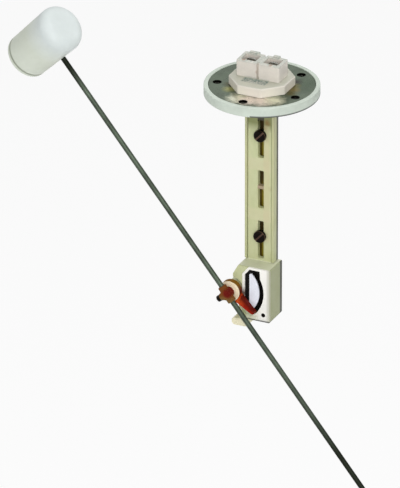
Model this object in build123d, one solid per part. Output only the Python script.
from build123d import *
import os
from math import cos, radians, sin, sqrt

# Fuel level sender, in millimetres.
# The origin is the centre of the gasket's underside, +Z points up to the connector,
# and the front, with the slots and the window, looks towards -Y.

# Flange: a steel disc with a rubber gasket that wraps its rim
# The holes keep their share of the gasket's web, which is 10.3 mm wide on the 70 mm flange:
# their circle is then 54 mm, 5 mm out from the bore, and each hole 5.4 mm
flange_d = 70.0
plate_t = 1.8
gasket_web_t = 4.2
gasket_rim_w = 2.7
gasket_rim_rise = 0.4
gasket_bore_d = 44.0
fit = 0.05
bolt_count = 5
bolt_first_angle = -90.0
bolt_circle_share = 5.0 / 10.3
bolt_hole_share = 5.4 / 10.3

# Connector moulding on the plate
base_vertex_r = 20.0
base_h = 6.0
tower_w = 13.7
tower_gap = 0.8
tower_depth = 13.4
tower_h = 10.5
tower_y = 0.1
split_w = 1.4
split_depth = 2.0
pocket_w = 9.6
pocket_depth_y = 8.4
pocket_h = 10.0
key_h = 1.2
key_t = 2.2
key_widths = (6.4, 4.2)
label_recess_w = 15.0
label_recess_depth_y = 4.6
label_recess_y = -9.9
label_recess_t = 0.5
spigot_r = 11.0
seal_section_r = 0.8

# Plug blades
blade_w = 6.3
blade_t = 0.8
blade_below_rim = 1.0
blade_y = 0.9
tail_w = 3.0
tail_l = 9.5
tail_hole_d = 1.4

# Channel bracket under the plate
bracket_w = 19.2
bracket_depth = 7.4
bracket_t = 1.6
bracket_bottom_z = -109.7
bracket_back_top_z = 1.2
tab_reach = 20.0
tab_bend_r = 0.8
rivet_x = 14.8
rivet_d = 3.2
rivet_head_d = 6.0
rivet_head_h = 1.2
rivet_tail_d = 4.6
rivet_tail_h = 2.2
rivet_grip_plastic = 2.0
rivet_pocket_h = 2.8

# Slotted bar that slides in the channel
slide_gap = 0.3
bar_recess = 0.5
bar_web_t = 3.4
bar_rib_t = 1.6
bar_top_z = -11.0
slot_x = 0.8
slot_w = 3.8
slot_l = 24.9
slot_pitch = 33.5
slot_count = 3
slot_first_top_z = -16.5
slot_corner_r = 0.6
bridge_z = -61.1
bridge_h = 2.0
cross_rib_t = 1.6

# Two screws that clamp the bar in the channel, in the first and the last slot
screw_d = 3.5
screw_head_d = 7.7
screw_head_h = 3.2
screw_slot_w = 1.0
screw_slot_depth = 1.1
screw_slot_angle = 47.0
screw_offset_in_slot = 9.7
screw_end_past_nut = 1.0
clamp_gap = 0.15
nut_across_flats = 6.0
nut_t = 3.0

# Sensor housing at the foot of the bar
housing_left_x = -8.5
housing_right_x = 12.1
housing_top_z = -110.0
housing_bottom_z = -144.8
housing_front_y = -14.5
housing_back_y = 3.5
housing_edge_r = 0.8
ear_left_x = -12.4
ear_top_left_x = -9.0
ear_shoulder_z = -116.2
foot_left_x = -13.2
foot_right_x = -2.4
foot_top_z = -145.5
foot_bottom_z = -150.3
foot_back_y = -6.0
foot_corner_r = 2.2
foot_blend_r = 2.6

# Pivot, where hub, pin and bush turn
pivot_x = -12.5
pivot_z = -126.3
ear_cut_r = 7.6
hub_recess_r = 7.3
hub_recess_depth = 1.5
boss_r = 4.6
boss_back_y = -1.2
bush_r = 2.5
bush_flange_r = 3.8
bush_flange_t = 1.5
pin_r = 1.5
pin_end_past_boss = 1.8
pin_in_hub = 3.0
turning_gap = 0.3
clip_r = 3.2
clip_t = 0.6
clip_groove_depth = 0.4

# Cover and its D-shaped window, round an arc about the pivot
cover_t = 1.2
cover_left_x = -6.2
window_left_x = -4.56
window_arc_r = 20.45
window_arc_low = -43.0
window_arc_high = 28.0
window_top_z = -111.5
window_top_right_x = 5.3
window_corner_x = -1.36
window_corner_drop = 3.9
window_margin = 1.5
island_left_x = -1.5
island_arc_r = 17.5
island_top_z = -114.2
island_corner_r = 0.9
island_below_cover = 0.1

# Resistance card in the pocket behind the window
pocket_floor_y = -8.0
pocket_margin = 0.5
card_gap = 0.12
card_below_cover = 0.8
turn_pitch_angle = 1.3
turn_w = 0.24
turn_h = 0.2
turns_low = -41.0
turns_high = 43.0

# Cover screw
cover_screw_x = 7.75
cover_screw_z = -140.2
cover_screw_d = 1.6
cover_screw_head_d = 2.6
cover_screw_head_h = 0.8
cover_screw_l = 6.0

# Solder tags on the back of the housing
tag_w = 3.2
tag_l = 9.0
tag_t = 0.5
tag_xs = (-3.0, 5.0)
tag_top_z = -116.0
tag_peg_r = 0.9
tag_peg_l = 3.0
tag_hole_r = 0.8

# Hub, pointer and contact
hub_r = 6.65
hub_front_y = -18.5
hub_boss_r = 3.3
hub_boss_front_y = -25.2
collar_r = 6.5
collar_t = 0.9
pointer_angle = -38.9
pointer_root_half_w = 4.0
pointer_tip_half_w = 1.4
pointer_tip_r = 18.6
pointer_t = 2.9
spring_t = 0.3
spring_half_w = 1.3
spring_eye_r = 4.3
contact_r = 0.9
contact_h = 0.6
contact_track_r = 19.0

# Rod, its clamp screw and the float
rod_r = 1.6
rod_fit = 0.05
rod_y = -22.5
rod_angle = 128.8
rod_tail_l = 160.0
rod_to_float = 188.0
rod_past_float_axis = 8.0
clamp_lug_r = 2.3
clamp_lug_end = 4.7
clamp_screw_r = 1.25
clamp_tip_gap = 0.15
clamp_head_r = 2.0
clamp_head_h = 2.6
clamp_slot_w = 0.6
clamp_slot_depth = 0.7
float_l = 43.0
float_wide_r = 14.9
float_narrow_r = 13.9
float_offset = 3.8
float_tilt = 7.0
float_turn = 11.0
float_end_r = 6.0
float_cap_l = 3.0
float_cap_edge_r = 1.2
float_seam = 0.25

# Values worked out from the sizes above
flange_r = flange_d / 2
plate_r = flange_r - gasket_rim_w
gasket_web_w = plate_r - gasket_bore_d / 2
bolt_circle_d = gasket_bore_d + 2 * gasket_web_w * bolt_circle_share
bolt_hole_d = gasket_web_w * bolt_hole_share
plate_top_z = gasket_web_t + plate_t
base_top_z = plate_top_z + base_h
tower_top_z = base_top_z + tower_h
tower_x = (tower_w + tower_gap) / 2
pocket_floor_z = tower_top_z - pocket_h
bracket_half_w = bracket_w / 2
bracket_front_y = -bracket_depth / 2
bracket_back_y = bracket_depth / 2
bracket_inner_x = bracket_half_w - bracket_t
bracket_inner_y = bracket_back_y - bracket_t
tab_bottom_z = gasket_web_t - bracket_t
bar_half_w = bracket_inner_x - slide_gap
bar_front_y = bracket_front_y + bar_recess
bar_web_back_y = bar_front_y + bar_web_t
bar_back_y = bracket_inner_y - slide_gap
slot_tops = [slot_first_top_z - i * slot_pitch for i in range(slot_count)]
screw_zs = (slot_tops[0] - screw_offset_in_slot, slot_tops[-1] - screw_offset_in_slot)
screw_head_back_y = bar_front_y - clamp_gap
cover_back_y = housing_front_y + cover_t
recess_floor_y = housing_front_y + hub_recess_depth
spring_back_y = recess_floor_y - bush_flange_t - turning_gap
hub_back_y = spring_back_y - spring_t
window_middle_z = pivot_z
window_bottom_z = 2 * window_middle_z - window_top_z
card_front_y = housing_front_y + card_below_cover


def front_plane(y):
    """The plane at depth y that looks to the front, with X to the right and Z up."""
    return Plane.XZ.offset(-y)


def slab(outline, y_back, y_front):
    """A solid of one outline in X and Z, from its back plane to its front plane."""
    return extrude(front_plane(y_back) * outline, amount=y_back - y_front)


def polygon(points):
    """A flat face with straight sides."""
    return make_face(Polyline(*points, close=True))


def rectangle(x_low, x_high, z_low, z_high):
    """A rectangle in X and Z, given by its sides."""
    return Pos((x_low + x_high) / 2, (z_low + z_high) / 2) * Rectangle(x_high - x_low, z_high - z_low)


def block(x_low, x_high, y_low, y_high, z_low, z_high):
    """A box given by its sides."""
    centre = Pos((x_low + x_high) / 2, (y_low + y_high) / 2, (z_low + z_high) / 2)
    return centre * Box(x_high - x_low, y_high - y_low, z_high - z_low)


def post(x, y, z_low, z_high, r):
    """An upright cylinder."""
    return Pos(x, y, z_low) * Cylinder(r, z_high - z_low, align=(Align.CENTER, Align.CENTER, Align.MIN))


def rod_along_y(x, z, y_back, y_front, r):
    """A cylinder along Y."""
    return slab(Pos(x, z) * Circle(r), y_back, y_front)


def polar(r, angle):
    """The point in X and Z at a radius and an angle about the pivot."""
    return pivot_x + r * cos(radians(angle)), pivot_z + r * sin(radians(angle))


def swing_plane(angle, along):
    """The plane across a line that leaves the pivot at an angle, at rod depth, a distance along it."""
    x, z = polar(along, angle)
    way = (cos(radians(angle)), 0, sin(radians(angle)))
    return Plane(origin=(x, rod_y, z), x_dir=(0, 1, 0), z_dir=way)


def cylinder_on_swing(angle, start, end, r):
    """A cylinder along a line through the pivot, between two distances from it."""
    return extrude(swing_plane(angle, start) * Circle(r), amount=end - start)


def bolt_places():
    """Centres of the flange holes."""
    return PolarLocations(bolt_circle_d / 2, bolt_count, start_angle=bolt_first_angle)


def make_flange_plate():
    plate = post(0, 0, gasket_web_t, plate_top_z, plate_r - fit)
    plate = fillet(plate.edges().group_by(Axis.Z)[-1], plate_t / 5)
    plate -= post(0, 0, gasket_web_t, plate_top_z, spigot_r + fit)
    for place in bolt_places():
        plate -= place * post(0, 0, gasket_web_t, plate_top_z, bolt_hole_d / 2)
    for x in (-rivet_x, rivet_x):
        plate -= post(x, 0, gasket_web_t, plate_top_z, rivet_d / 2 + fit)
    return plate


def make_flange_gasket():
    rim_top_z = plate_top_z + gasket_rim_rise
    profile = polygon(
        [
            (gasket_bore_d / 2, 0),
            (flange_r, 0),
            (flange_r, rim_top_z),
            (plate_r, rim_top_z),
            (plate_r, gasket_web_t),
            (gasket_bore_d / 2, gasket_web_t),
        ]
    )
    outer_corners = profile.vertices().filter_by_position(Axis.X, flange_r - 0.1, flange_r + 0.1)
    profile = fillet(outer_corners, gasket_rim_w * 0.25)
    inner_corner = profile.vertices().sort_by_distance((plate_r, rim_top_z, 0))[0]
    profile = fillet(inner_corner, gasket_rim_rise * 0.8)
    gasket = revolve(Plane.XZ * profile, Axis.Z)
    for place in bolt_places():
        gasket -= place * post(0, 0, 0, gasket_web_t, bolt_hole_d / 2)
    return gasket


def make_terminal_housing():
    base_outline = RegularPolygon(base_vertex_r, 8, rotation=22.5)
    base = extrude(Plane.XY.offset(plate_top_z) * base_outline, amount=base_h)
    base = fillet(base.edges().group_by(Axis.Z)[-1], 1.0)
    half_block = tower_w + tower_gap / 2
    towers = block(
        -half_block,
        half_block,
        tower_y - tower_depth / 2,
        tower_y + tower_depth / 2,
        base_top_z - 1.0,
        tower_top_z,
    )
    towers = fillet(towers.edges().filter_by(Axis.Z), 1.0)
    towers = fillet(towers.edges().group_by(Axis.Z)[-1], 0.5)
    housing = base + towers
    for side in (-1, 1):
        front_y = tower_y + side * tower_depth / 2
        housing -= block(
            -split_w / 2,
            split_w / 2,
            min(front_y, front_y - side * split_depth),
            max(front_y, front_y - side * split_depth),
            base_top_z,
            tower_top_z,
        )
    back_wall_y = tower_y + tower_depth / 2
    for side, width in zip((-1, 1), key_widths):
        middle = side * tower_x
        housing += block(
            middle - width / 2,
            middle + width / 2,
            back_wall_y - key_t,
            back_wall_y,
            tower_top_z - 1.0,
            tower_top_z + key_h,
        )
        pocket = block(
            middle - pocket_w / 2,
            middle + pocket_w / 2,
            tower_y - pocket_depth_y / 2,
            tower_y + pocket_depth_y / 2,
            pocket_floor_z,
            tower_top_z,
        )
        housing -= fillet(pocket.edges().filter_by(Axis.Z), 0.8)
    housing -= block(
        -label_recess_w / 2,
        label_recess_w / 2,
        label_recess_y - label_recess_depth_y / 2,
        label_recess_y + label_recess_depth_y / 2,
        base_top_z - label_recess_t,
        base_top_z,
    )
    housing += post(0, 0, gasket_web_t, plate_top_z, spigot_r)
    seal_groove = post(0, 0, plate_top_z, plate_top_z + 2 * seal_section_r, spigot_r + 2 * seal_section_r + fit)
    seal_groove -= post(0, 0, plate_top_z, plate_top_z + 2 * seal_section_r, spigot_r)
    housing -= seal_groove
    pocket_base_z = plate_top_z + rivet_grip_plastic
    for side in (-1, 1):
        housing -= post(side * rivet_x, 0, plate_top_z, pocket_base_z, rivet_d / 2 + fit)
        housing -= post(side * rivet_x, 0, pocket_base_z, pocket_base_z + rivet_pocket_h, rivet_tail_d / 2 + 0.3)
        housing -= block(
            side * tower_x - blade_w / 2 - fit,
            side * tower_x + blade_w / 2 + fit,
            blade_y - blade_t / 2 - fit,
            blade_y + blade_t / 2 + fit,
            gasket_web_t,
            pocket_floor_z,
        )
    return housing


def make_connector_seal():
    ring_centre_r = spigot_r + seal_section_r + fit
    section = Pos(ring_centre_r, plate_top_z + seal_section_r) * Circle(seal_section_r)
    return revolve(Plane.XZ * section, Axis.Z)


def make_terminal_blade(side):
    middle = side * tower_x
    blade = block(
        middle - blade_w / 2,
        middle + blade_w / 2,
        blade_y - blade_t / 2,
        blade_y + blade_t / 2,
        gasket_web_t,
        tower_top_z - blade_below_rim,
    )
    tip_edges = blade.edges().filter_by(Axis.Y).group_by(Axis.Z)[-1]
    blade = chamfer(tip_edges, 1.2)
    inner_edge = middle - side * blade_w / 2
    tail_middle = inner_edge + side * tail_w / 2
    blade += block(
        tail_middle - tail_w / 2,
        tail_middle + tail_w / 2,
        blade_y - blade_t / 2,
        blade_y + blade_t / 2,
        gasket_web_t - tail_l,
        gasket_web_t,
    )
    hole_z = gasket_web_t - tail_l + tail_hole_d
    blade -= rod_along_y(tail_middle, hole_z, blade_y + blade_t / 2, blade_y - blade_t / 2, tail_hole_d / 2)
    return blade


def make_upper_bracket():
    outer_x = bracket_half_w
    inner_x = bracket_inner_x
    half = polygon(
        [
            (inner_x, bracket_bottom_z),
            (outer_x, bracket_bottom_z),
            (outer_x, tab_bottom_z),
            (tab_reach, tab_bottom_z),
            (tab_reach, gasket_web_t),
            (inner_x, gasket_web_t),
        ]
    )
    inside_corner = half.vertices().sort_by_distance((outer_x, tab_bottom_z, 0))[0]
    half = fillet(inside_corner, tab_bend_r)
    outside_corner = half.vertices().sort_by_distance((inner_x, gasket_web_t, 0))[0]
    half = fillet(outside_corner, tab_bend_r + bracket_t)
    wall = slab(half, bracket_back_y, bracket_front_y)
    bracket = wall + mirror(wall, about=Plane.YZ)
    bracket += block(
        -inner_x,
        inner_x,
        bracket_inner_y,
        bracket_back_y,
        bracket_bottom_z,
        bracket_back_top_z,
    )
    long_back_edges = [
        edge
        for edge in bracket.edges().filter_by(Axis.Z)
        if abs(abs(edge.center().X) - outer_x) < 0.01 and edge.center().Y > bracket_back_y - 0.01
    ]
    bracket = fillet(long_back_edges, bracket_t * 0.8)
    for x in (-rivet_x, rivet_x):
        bracket -= post(x, 0, tab_bottom_z, gasket_web_t, rivet_d / 2 + fit)
    for z in screw_zs:
        bracket -= rod_along_y(slot_x, z, bracket_back_y, bracket_inner_y, screw_d / 2 + fit)
    return bracket


def make_bracket_rivets():
    rivets = []
    tail_z = plate_top_z + rivet_grip_plastic
    for x in (-rivet_x, rivet_x):
        rivet = post(x, 0, tab_bottom_z, tail_z, rivet_d / 2)
        head = post(x, 0, tab_bottom_z - rivet_head_h, tab_bottom_z, rivet_head_d / 2)
        head = fillet(head.edges().group_by(Axis.Z)[0], rivet_head_h * 0.7)
        tail = post(x, 0, tail_z, tail_z + rivet_tail_h, rivet_tail_d / 2)
        tail = fillet(tail.edges().group_by(Axis.Z)[-1], 0.6)
        rivets.append(rivet + head + tail)
    return Compound(children=rivets)


def make_strut_screws():
    screws = []
    head_front_y = screw_head_back_y - screw_head_h
    shank_end_y = bracket_back_y + nut_t + screw_end_past_nut
    for z in screw_zs:
        head = rod_along_y(slot_x, z, screw_head_back_y, head_front_y, screw_head_d / 2)
        head = fillet(head.edges().group_by(Axis.Y)[0], screw_head_h * 0.45)
        groove = Pos(slot_x, z) * Rot(0, 0, screw_slot_angle) * Rectangle(screw_head_d + 1, screw_slot_w)
        head -= slab(groove, head_front_y + screw_slot_depth, head_front_y)
        screws.append(head + rod_along_y(slot_x, z, shank_end_y, screw_head_back_y, screw_d / 2))
    return Compound(children=screws)


def make_strut_nuts():
    nuts = []
    nut_r = nut_across_flats / sqrt(3)
    for z in screw_zs:
        outline = Pos(slot_x, z) * (RegularPolygon(nut_r, 6) - Circle(screw_d / 2 + fit))
        nuts.append(slab(outline, bracket_back_y + nut_t, bracket_back_y))
    return Compound(children=nuts)


def slot_outlines():
    """The slots in the bar, the middle one parted by a thin bridge."""
    outlines = []
    for top_z in slot_tops:
        bottom_z = top_z - slot_l
        if bottom_z < bridge_z < top_z:
            outlines.append((bridge_z + bridge_h / 2, top_z))
            outlines.append((bottom_z, bridge_z - bridge_h / 2))
        else:
            outlines.append((bottom_z, top_z))
    return [
        Pos(slot_x, (low + high) / 2) * RectangleRounded(slot_w, high - low, slot_corner_r)
        for low, high in outlines
    ]


def make_bar():
    """The slotted bar: a front web with a rib down each side and a cross rib at each slot's end."""
    bar = slab(rectangle(-bar_half_w, bar_half_w, housing_top_z, bar_top_z), bar_web_back_y, bar_front_y)
    for side in (-1, 1):
        x_out = side * bar_half_w
        x_in = side * (bar_half_w - bar_rib_t)
        rib = rectangle(min(x_out, x_in), max(x_out, x_in), housing_top_z, bar_top_z)
        bar += slab(rib, bar_back_y, bar_web_back_y)
    gap_half = (slot_pitch - slot_l) / 2
    for top_z in slot_tops[1:]:
        rib_z = top_z + gap_half
        rib = rectangle(-bar_half_w, bar_half_w, rib_z - cross_rib_t / 2, rib_z + cross_rib_t / 2)
        bar += slab(rib, bar_back_y, bar_web_back_y)
    top_rib = rectangle(-bar_half_w, bar_half_w, bar_top_z - cross_rib_t, bar_top_z)
    bar += slab(top_rib, bar_back_y, bar_web_back_y)
    for outline in slot_outlines():
        bar -= slab(outline, bar_web_back_y, bar_front_y)
    return bar


def window_outline():
    """The D-shaped window: straight left side, slanted corners and an arc about the pivot."""
    low_end = polar(window_arc_r, window_arc_low)
    high_end = polar(window_arc_r, window_arc_high)
    middle = polar(window_arc_r, (window_arc_low + window_arc_high) / 2)
    corner_high_z = window_top_z - window_corner_drop
    corner_low_z = window_bottom_z + window_corner_drop
    sides = Polyline(
        low_end,
        (window_corner_x, low_end[1]),
        (window_left_x, corner_low_z),
        (window_left_x, corner_high_z),
        (window_corner_x, window_top_z),
        (window_top_right_x, window_top_z),
        high_end,
    )
    return make_face(sides + ThreePointArc(high_end, middle, low_end))


def island_outline(grow=0.0):
    """The D-shaped island in the window, or the same shape grown by a gap."""
    island_bottom_z = 2 * window_middle_z - island_top_z
    disc = Pos(pivot_x, pivot_z) * Circle(island_arc_r + grow)
    band = rectangle(
        island_left_x - grow,
        pivot_x + island_arc_r + 1,
        island_bottom_z - grow,
        island_top_z + grow,
    )
    island = disc & band
    return fillet(island.vertices(), island_corner_r + grow)


def cover_outline():
    """The cover's outline, with its left corners slanted like the window's."""
    slant = (window_corner_x - window_left_x) / window_corner_drop
    top_x = window_corner_x - window_margin * 0.5
    drop = (top_x - cover_left_x) / slant
    return polygon(
        [
            (cover_left_x, housing_top_z - drop),
            (top_x, housing_top_z),
            (housing_right_x, housing_top_z),
            (housing_right_x, housing_bottom_z),
            (top_x, housing_bottom_z),
            (cover_left_x, housing_bottom_z + drop),
        ]
    )


def housing_outline():
    """The housing seen from the front, with its ear and foot."""
    core = rectangle(housing_left_x, housing_right_x, housing_bottom_z, housing_top_z)
    ear_bottom_z = pivot_z + ear_cut_r * 0.8
    ear = polygon(
        [
            (housing_left_x, housing_top_z),
            (ear_top_left_x, housing_top_z),
            (ear_left_x, ear_shoulder_z),
            (ear_left_x, ear_bottom_z),
            (housing_left_x, ear_bottom_z),
        ]
    )
    ear -= Pos(pivot_x, pivot_z) * Circle(ear_cut_r)
    return core + ear


def foot_outline():
    """The lug under the housing's left corner, with a hollow blend to the bottom edge."""
    foot_w = foot_right_x - foot_left_x
    foot_h = foot_top_z - foot_bottom_z
    lug = Pos(foot_left_x + foot_w / 2, foot_bottom_z + foot_h / 2) * RectangleRounded(foot_w, foot_h, foot_corner_r)
    neck = rectangle(housing_left_x, foot_right_x, foot_bottom_z + foot_corner_r, housing_bottom_z + 1)
    blend_x = foot_right_x + foot_blend_r
    blend_z = housing_bottom_z - foot_blend_r
    blend = rectangle(foot_right_x, blend_x, blend_z, housing_bottom_z + 1)
    blend -= Pos(blend_x, blend_z) * Circle(foot_blend_r)
    return lug + neck + blend


def make_sensor_body():
    body = slab(housing_outline(), housing_back_y, housing_front_y)
    outer_edges = [
        edge
        for edge in body.edges().filter_by(Axis.Y)
        if edge.center().X > housing_right_x - 0.01 or edge.center().X < ear_left_x + 0.01
    ]
    body = fillet(outer_edges, housing_edge_r)
    body += slab(foot_outline(), foot_back_y, housing_front_y)
    body -= slab(cover_outline(), cover_back_y, housing_front_y)
    body -= rod_along_y(pivot_x, pivot_z, recess_floor_y, housing_front_y, hub_recess_r)
    boss = Pos(pivot_x, pivot_z) * Circle(boss_r)
    boss += rectangle(pivot_x, housing_left_x + 1, pivot_z - boss_r, pivot_z + boss_r)
    body += slab(boss, boss_back_y, recess_floor_y)
    body -= rod_along_y(pivot_x, pivot_z, boss_back_y, recess_floor_y, bush_r + fit)
    pocket = offset(window_outline(), amount=pocket_margin, kind=Kind.INTERSECTION)
    body -= slab(pocket, pocket_floor_y, cover_back_y)
    screw_hole_back_y = housing_front_y + cover_screw_l
    body -= rod_along_y(cover_screw_x, cover_screw_z, screw_hole_back_y, cover_back_y, cover_screw_d / 2 + fit)
    peg_z = tag_top_z - tag_w / 2
    for x in tag_xs:
        body -= rod_along_y(x, peg_z, housing_back_y, housing_back_y - tag_peg_l, tag_peg_r + fit)
    return body + make_bar()


def make_cover_plate():
    outline = cover_outline() - window_outline()
    cover = slab(outline, cover_back_y, housing_front_y)
    right_edges = [edge for edge in cover.edges().filter_by(Axis.Y) if edge.center().X > housing_right_x - 0.01]
    cover = fillet(right_edges, housing_edge_r)
    head_back_y = housing_front_y + cover_screw_head_h
    head_r = cover_screw_head_d / 2 + fit
    cover -= rod_along_y(cover_screw_x, cover_screw_z, cover_back_y, housing_front_y, cover_screw_d / 2 + fit)
    cover -= rod_along_y(cover_screw_x, cover_screw_z, head_back_y, housing_front_y, head_r)
    return cover


def make_cover_screw():
    shank_back_y = housing_front_y + cover_screw_l
    head_back_y = housing_front_y + cover_screw_head_h
    head_r = cover_screw_head_d / 2
    screw = rod_along_y(cover_screw_x, cover_screw_z, shank_back_y, housing_front_y, cover_screw_d / 2)
    screw += rod_along_y(cover_screw_x, cover_screw_z, head_back_y, housing_front_y, head_r)
    groove = Pos(cover_screw_x, cover_screw_z) * Rectangle(cover_screw_head_d + 1, 0.5)
    return screw - slab(groove, housing_front_y + 0.4, housing_front_y)


def make_card_former():
    return slab(island_outline(), pocket_floor_y, housing_front_y + island_below_cover)


def make_resistance_card():
    """The wound card: a D-shaped ring with a ridge for each turn of wire on its arc."""
    ring = offset(window_outline(), amount=-card_gap, kind=Kind.INTERSECTION) - island_outline(card_gap)
    card = slab(ring, pocket_floor_y, card_front_y)
    turn_count = int((turns_high - turns_low) / turn_pitch_angle) + 1
    inner_r = island_arc_r + card_gap
    outer_r = window_arc_r - card_gap
    turn = Pos((inner_r + outer_r) / 2, 0) * Rectangle(outer_r - inner_r - 0.2, turn_w)
    turns = []
    for i in range(turn_count):
        angle = turns_low + i * turn_pitch_angle
        outline = Pos(pivot_x, pivot_z) * Rot(0, 0, angle) * turn
        turns.append(slab(outline, card_front_y + turn_h, card_front_y - turn_h))
    return card.fuse(*turns)


def make_bearing_bush():
    bush = rod_along_y(pivot_x, pivot_z, boss_back_y, recess_floor_y, bush_r)
    bush += rod_along_y(pivot_x, pivot_z, recess_floor_y, recess_floor_y - bush_flange_t, bush_flange_r)
    return bush - rod_along_y(pivot_x, pivot_z, boss_back_y, recess_floor_y - bush_flange_t, pin_r + fit)


def make_solder_tags():
    tags = []
    peg_z = tag_top_z - tag_w / 2
    hole_z = tag_top_z - tag_l + tag_w / 2
    for x in tag_xs:
        strip = Pos(x, tag_top_z - tag_l / 2) * Rot(0, 0, 90) * SlotOverall(tag_l, tag_w)
        strip -= Pos(x, hole_z) * Circle(tag_hole_r)
        tag = slab(strip, housing_back_y + tag_t, housing_back_y)
        tags.append(tag + rod_along_y(x, peg_z, housing_back_y, housing_back_y - tag_peg_l, tag_peg_r))
    return Compound(children=tags)


def make_wiper_hub():
    hub = rod_along_y(pivot_x, pivot_z, hub_back_y, hub_front_y, hub_r)
    hub = fillet(hub.edges().group_by(Axis.Y)[0], 0.5)
    pointer = polygon(
        [
            (0, -pointer_root_half_w),
            (pointer_tip_r, -pointer_tip_half_w),
            (pointer_tip_r, pointer_tip_half_w),
            (0, pointer_root_half_w),
        ]
    )
    pointer += Pos(pointer_tip_r, 0) * Circle(pointer_tip_half_w)
    pointer = Pos(pivot_x, pivot_z) * Rot(0, 0, pointer_angle) * pointer
    hub += slab(pointer, hub_back_y, hub_back_y - pointer_t)
    hub += rod_along_y(pivot_x, pivot_z, hub_front_y, hub_boss_front_y, hub_boss_r)
    hub += cylinder_on_swing(rod_angle + 90, 0, clamp_lug_end, clamp_lug_r)
    hub -= rod_along_y(pivot_x, pivot_z, hub_back_y, hub_back_y - pin_in_hub, pin_r + fit)
    hub -= cylinder_on_swing(rod_angle, -2 * hub_r, 2 * hub_r, rod_r + rod_fit)
    hub -= cylinder_on_swing(rod_angle + 90, 0, clamp_lug_end, clamp_screw_r + fit)
    return hub


def make_hub_collar():
    collar = rod_along_y(pivot_x, pivot_z, hub_front_y, hub_front_y - collar_t, collar_r)
    collar = fillet(collar.edges().group_by(Axis.Y)[0], collar_t / 3)
    return collar - rod_along_y(pivot_x, pivot_z, hub_front_y, hub_front_y - collar_t, hub_boss_r + fit)


def make_pivot_pin():
    groove_front_y = boss_back_y + turning_gap
    end_y = boss_back_y + pin_end_past_boss
    pin = rod_along_y(pivot_x, pivot_z, end_y, hub_back_y - pin_in_hub, pin_r)
    pin = chamfer(pin.edges().group_by(Axis.Y)[-1], 0.3)
    groove = rod_along_y(pivot_x, pivot_z, groove_front_y + clip_t, groove_front_y, pin_r)
    groove -= rod_along_y(pivot_x, pivot_z, groove_front_y + clip_t, groove_front_y, pin_r - clip_groove_depth)
    return pin - groove


def make_retaining_clip():
    """The clip that snaps into the pin's groove from one side."""
    groove_front_y = boss_back_y + turning_gap
    seat_r = pin_r - clip_groove_depth + fit
    outline = Circle(clip_r) - Circle(seat_r)
    outline -= Pos(0, -clip_r / 2) * Rectangle(2 * seat_r * 0.9, clip_r)
    for angle in (30, 150):
        outline -= Rot(0, 0, angle) * Pos(seat_r, 0) * Rectangle(1.1, 0.8)
    return slab(Pos(pivot_x, pivot_z) * outline, groove_front_y + clip_t, groove_front_y)


def make_contact_spring():
    outline = Circle(spring_eye_r) + Pos(contact_track_r / 2, 0) * Rectangle(contact_track_r, 2 * spring_half_w)
    outline += Pos(contact_track_r, 0) * Circle(spring_half_w)
    outline -= Circle(pin_r + fit)
    outline = Pos(pivot_x, pivot_z) * Rot(0, 0, pointer_angle) * outline
    return slab(outline, spring_back_y, spring_back_y - spring_t)


def make_contact_button():
    x, z = polar(contact_track_r, pointer_angle)
    button = rod_along_y(x, z, spring_back_y + contact_h, spring_back_y, contact_r)
    return fillet(button.edges().group_by(Axis.Y)[-1], contact_h / 2)


def make_clamp_screw():
    angle = rod_angle + 90
    screw = cylinder_on_swing(angle, rod_r + clamp_tip_gap, clamp_lug_end, clamp_screw_r)
    head = cylinder_on_swing(angle, clamp_lug_end, clamp_lug_end + clamp_head_h, clamp_head_r)
    slot_plane = swing_plane(angle, clamp_lug_end + clamp_head_h - clamp_slot_depth)
    head -= extrude(slot_plane * Rectangle(clamp_slot_w, 3 * clamp_head_r), amount=clamp_slot_depth)
    return screw + head


def make_float_rod():
    rod = cylinder_on_swing(rod_angle, -rod_tail_l, rod_to_float + rod_past_float_axis, rod_r)
    return chamfer(rod.edges().filter_by(GeomType.CIRCLE), 0.3)


def float_plane():
    """Plane across the float's axis at its wide end, which looks along the axis.

    The axis stands a little off square to the rod, and its wide end is turned to the front.
    """
    along = radians(rod_angle - 90 + float_tilt)
    turn = radians(float_turn)
    axis = (cos(along) * cos(turn), -sin(turn), sin(along) * cos(turn))
    x, z = polar(rod_to_float, rod_angle)
    reach = float_l / 2 - float_offset
    wide_end = (x + reach * axis[0], rod_y + reach * axis[1], z + reach * axis[2])
    return Plane(origin=wide_end, x_dir=(-sin(along), 0, cos(along)), z_dir=axis)


def float_profile(low, high):
    """Half section of the float between two distances back from its wide end."""
    slope = (float_wide_r - float_narrow_r) / float_l
    return polygon(
        [
            (0, -high),
            (float_wide_r - slope * high, -high),
            (float_wide_r - slope * low, -low),
            (0, -low),
        ]
    )


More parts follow.
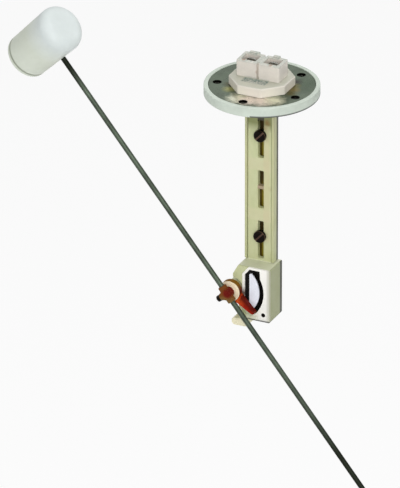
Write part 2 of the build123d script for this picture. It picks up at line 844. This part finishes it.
def make_float_body():
    profile = float_profile(0, float_l - float_cap_l)
    corner = profile.vertices().sort_by_distance((float_wide_r, 0, 0))[0]
    profile = fillet(corner, float_end_r)
    rim = profile.vertices().sort_by_distance((float_narrow_r, -float_l, 0))[0]
    profile = chamfer(rim, float_seam)
    shell = float_plane() * revolve(Plane.XZ * profile, Axis.Z)
    return shell - cylinder_on_swing(rod_angle, 0, rod_to_float + rod_past_float_axis, rod_r + fit)


def make_float_cap():
    profile = float_profile(float_l - float_cap_l, float_l)
    corner = profile.vertices().sort_by_distance((float_narrow_r, -float_l, 0))[0]
    profile = fillet(corner, float_cap_edge_r)
    seam = profile.vertices().sort_by_distance((float_narrow_r, float_cap_l - float_l, 0))[0]
    profile = chamfer(seam, float_seam)
    return float_plane() * revolve(Plane.XZ * profile, Axis.Z)


def main():
    nodes = {
        "flange_plate": make_flange_plate(),
        "flange_gasket": make_flange_gasket(),
        "terminal_housing": make_terminal_housing(),
        "connector_seal": make_connector_seal(),
        "terminal_blade_left": make_terminal_blade(-1),
        "terminal_blade_right": make_terminal_blade(1),
        "upper_bracket": make_upper_bracket(),
        "bracket_rivets": make_bracket_rivets(),
        "strut_screws": make_strut_screws(),
        "strut_nuts": make_strut_nuts(),
        "sensor_body": make_sensor_body(),
        "cover_plate": make_cover_plate(),
        "cover_screw": make_cover_screw(),
        "card_former": make_card_former(),
        "resistance_card": make_resistance_card(),
        "bearing_bush": make_bearing_bush(),
        "solder_tags": make_solder_tags(),
        "wiper_hub": make_wiper_hub(),
        "hub_collar": make_hub_collar(),
        "pivot_pin": make_pivot_pin(),
        "retaining_clip": make_retaining_clip(),
        "contact_spring": make_contact_spring(),
        "contact_button": make_contact_button(),
        "clamp_screw": make_clamp_screw(),
        "float_rod": make_float_rod(),
        "float_body": make_float_body(),
        "float_cap": make_float_cap(),
    }
    os.makedirs("parts", exist_ok=True)
    for name, solid in nodes.items():
        export_step(solid, f"parts/{name}.step")
    return nodes


if __name__ == "__main__":
    main()
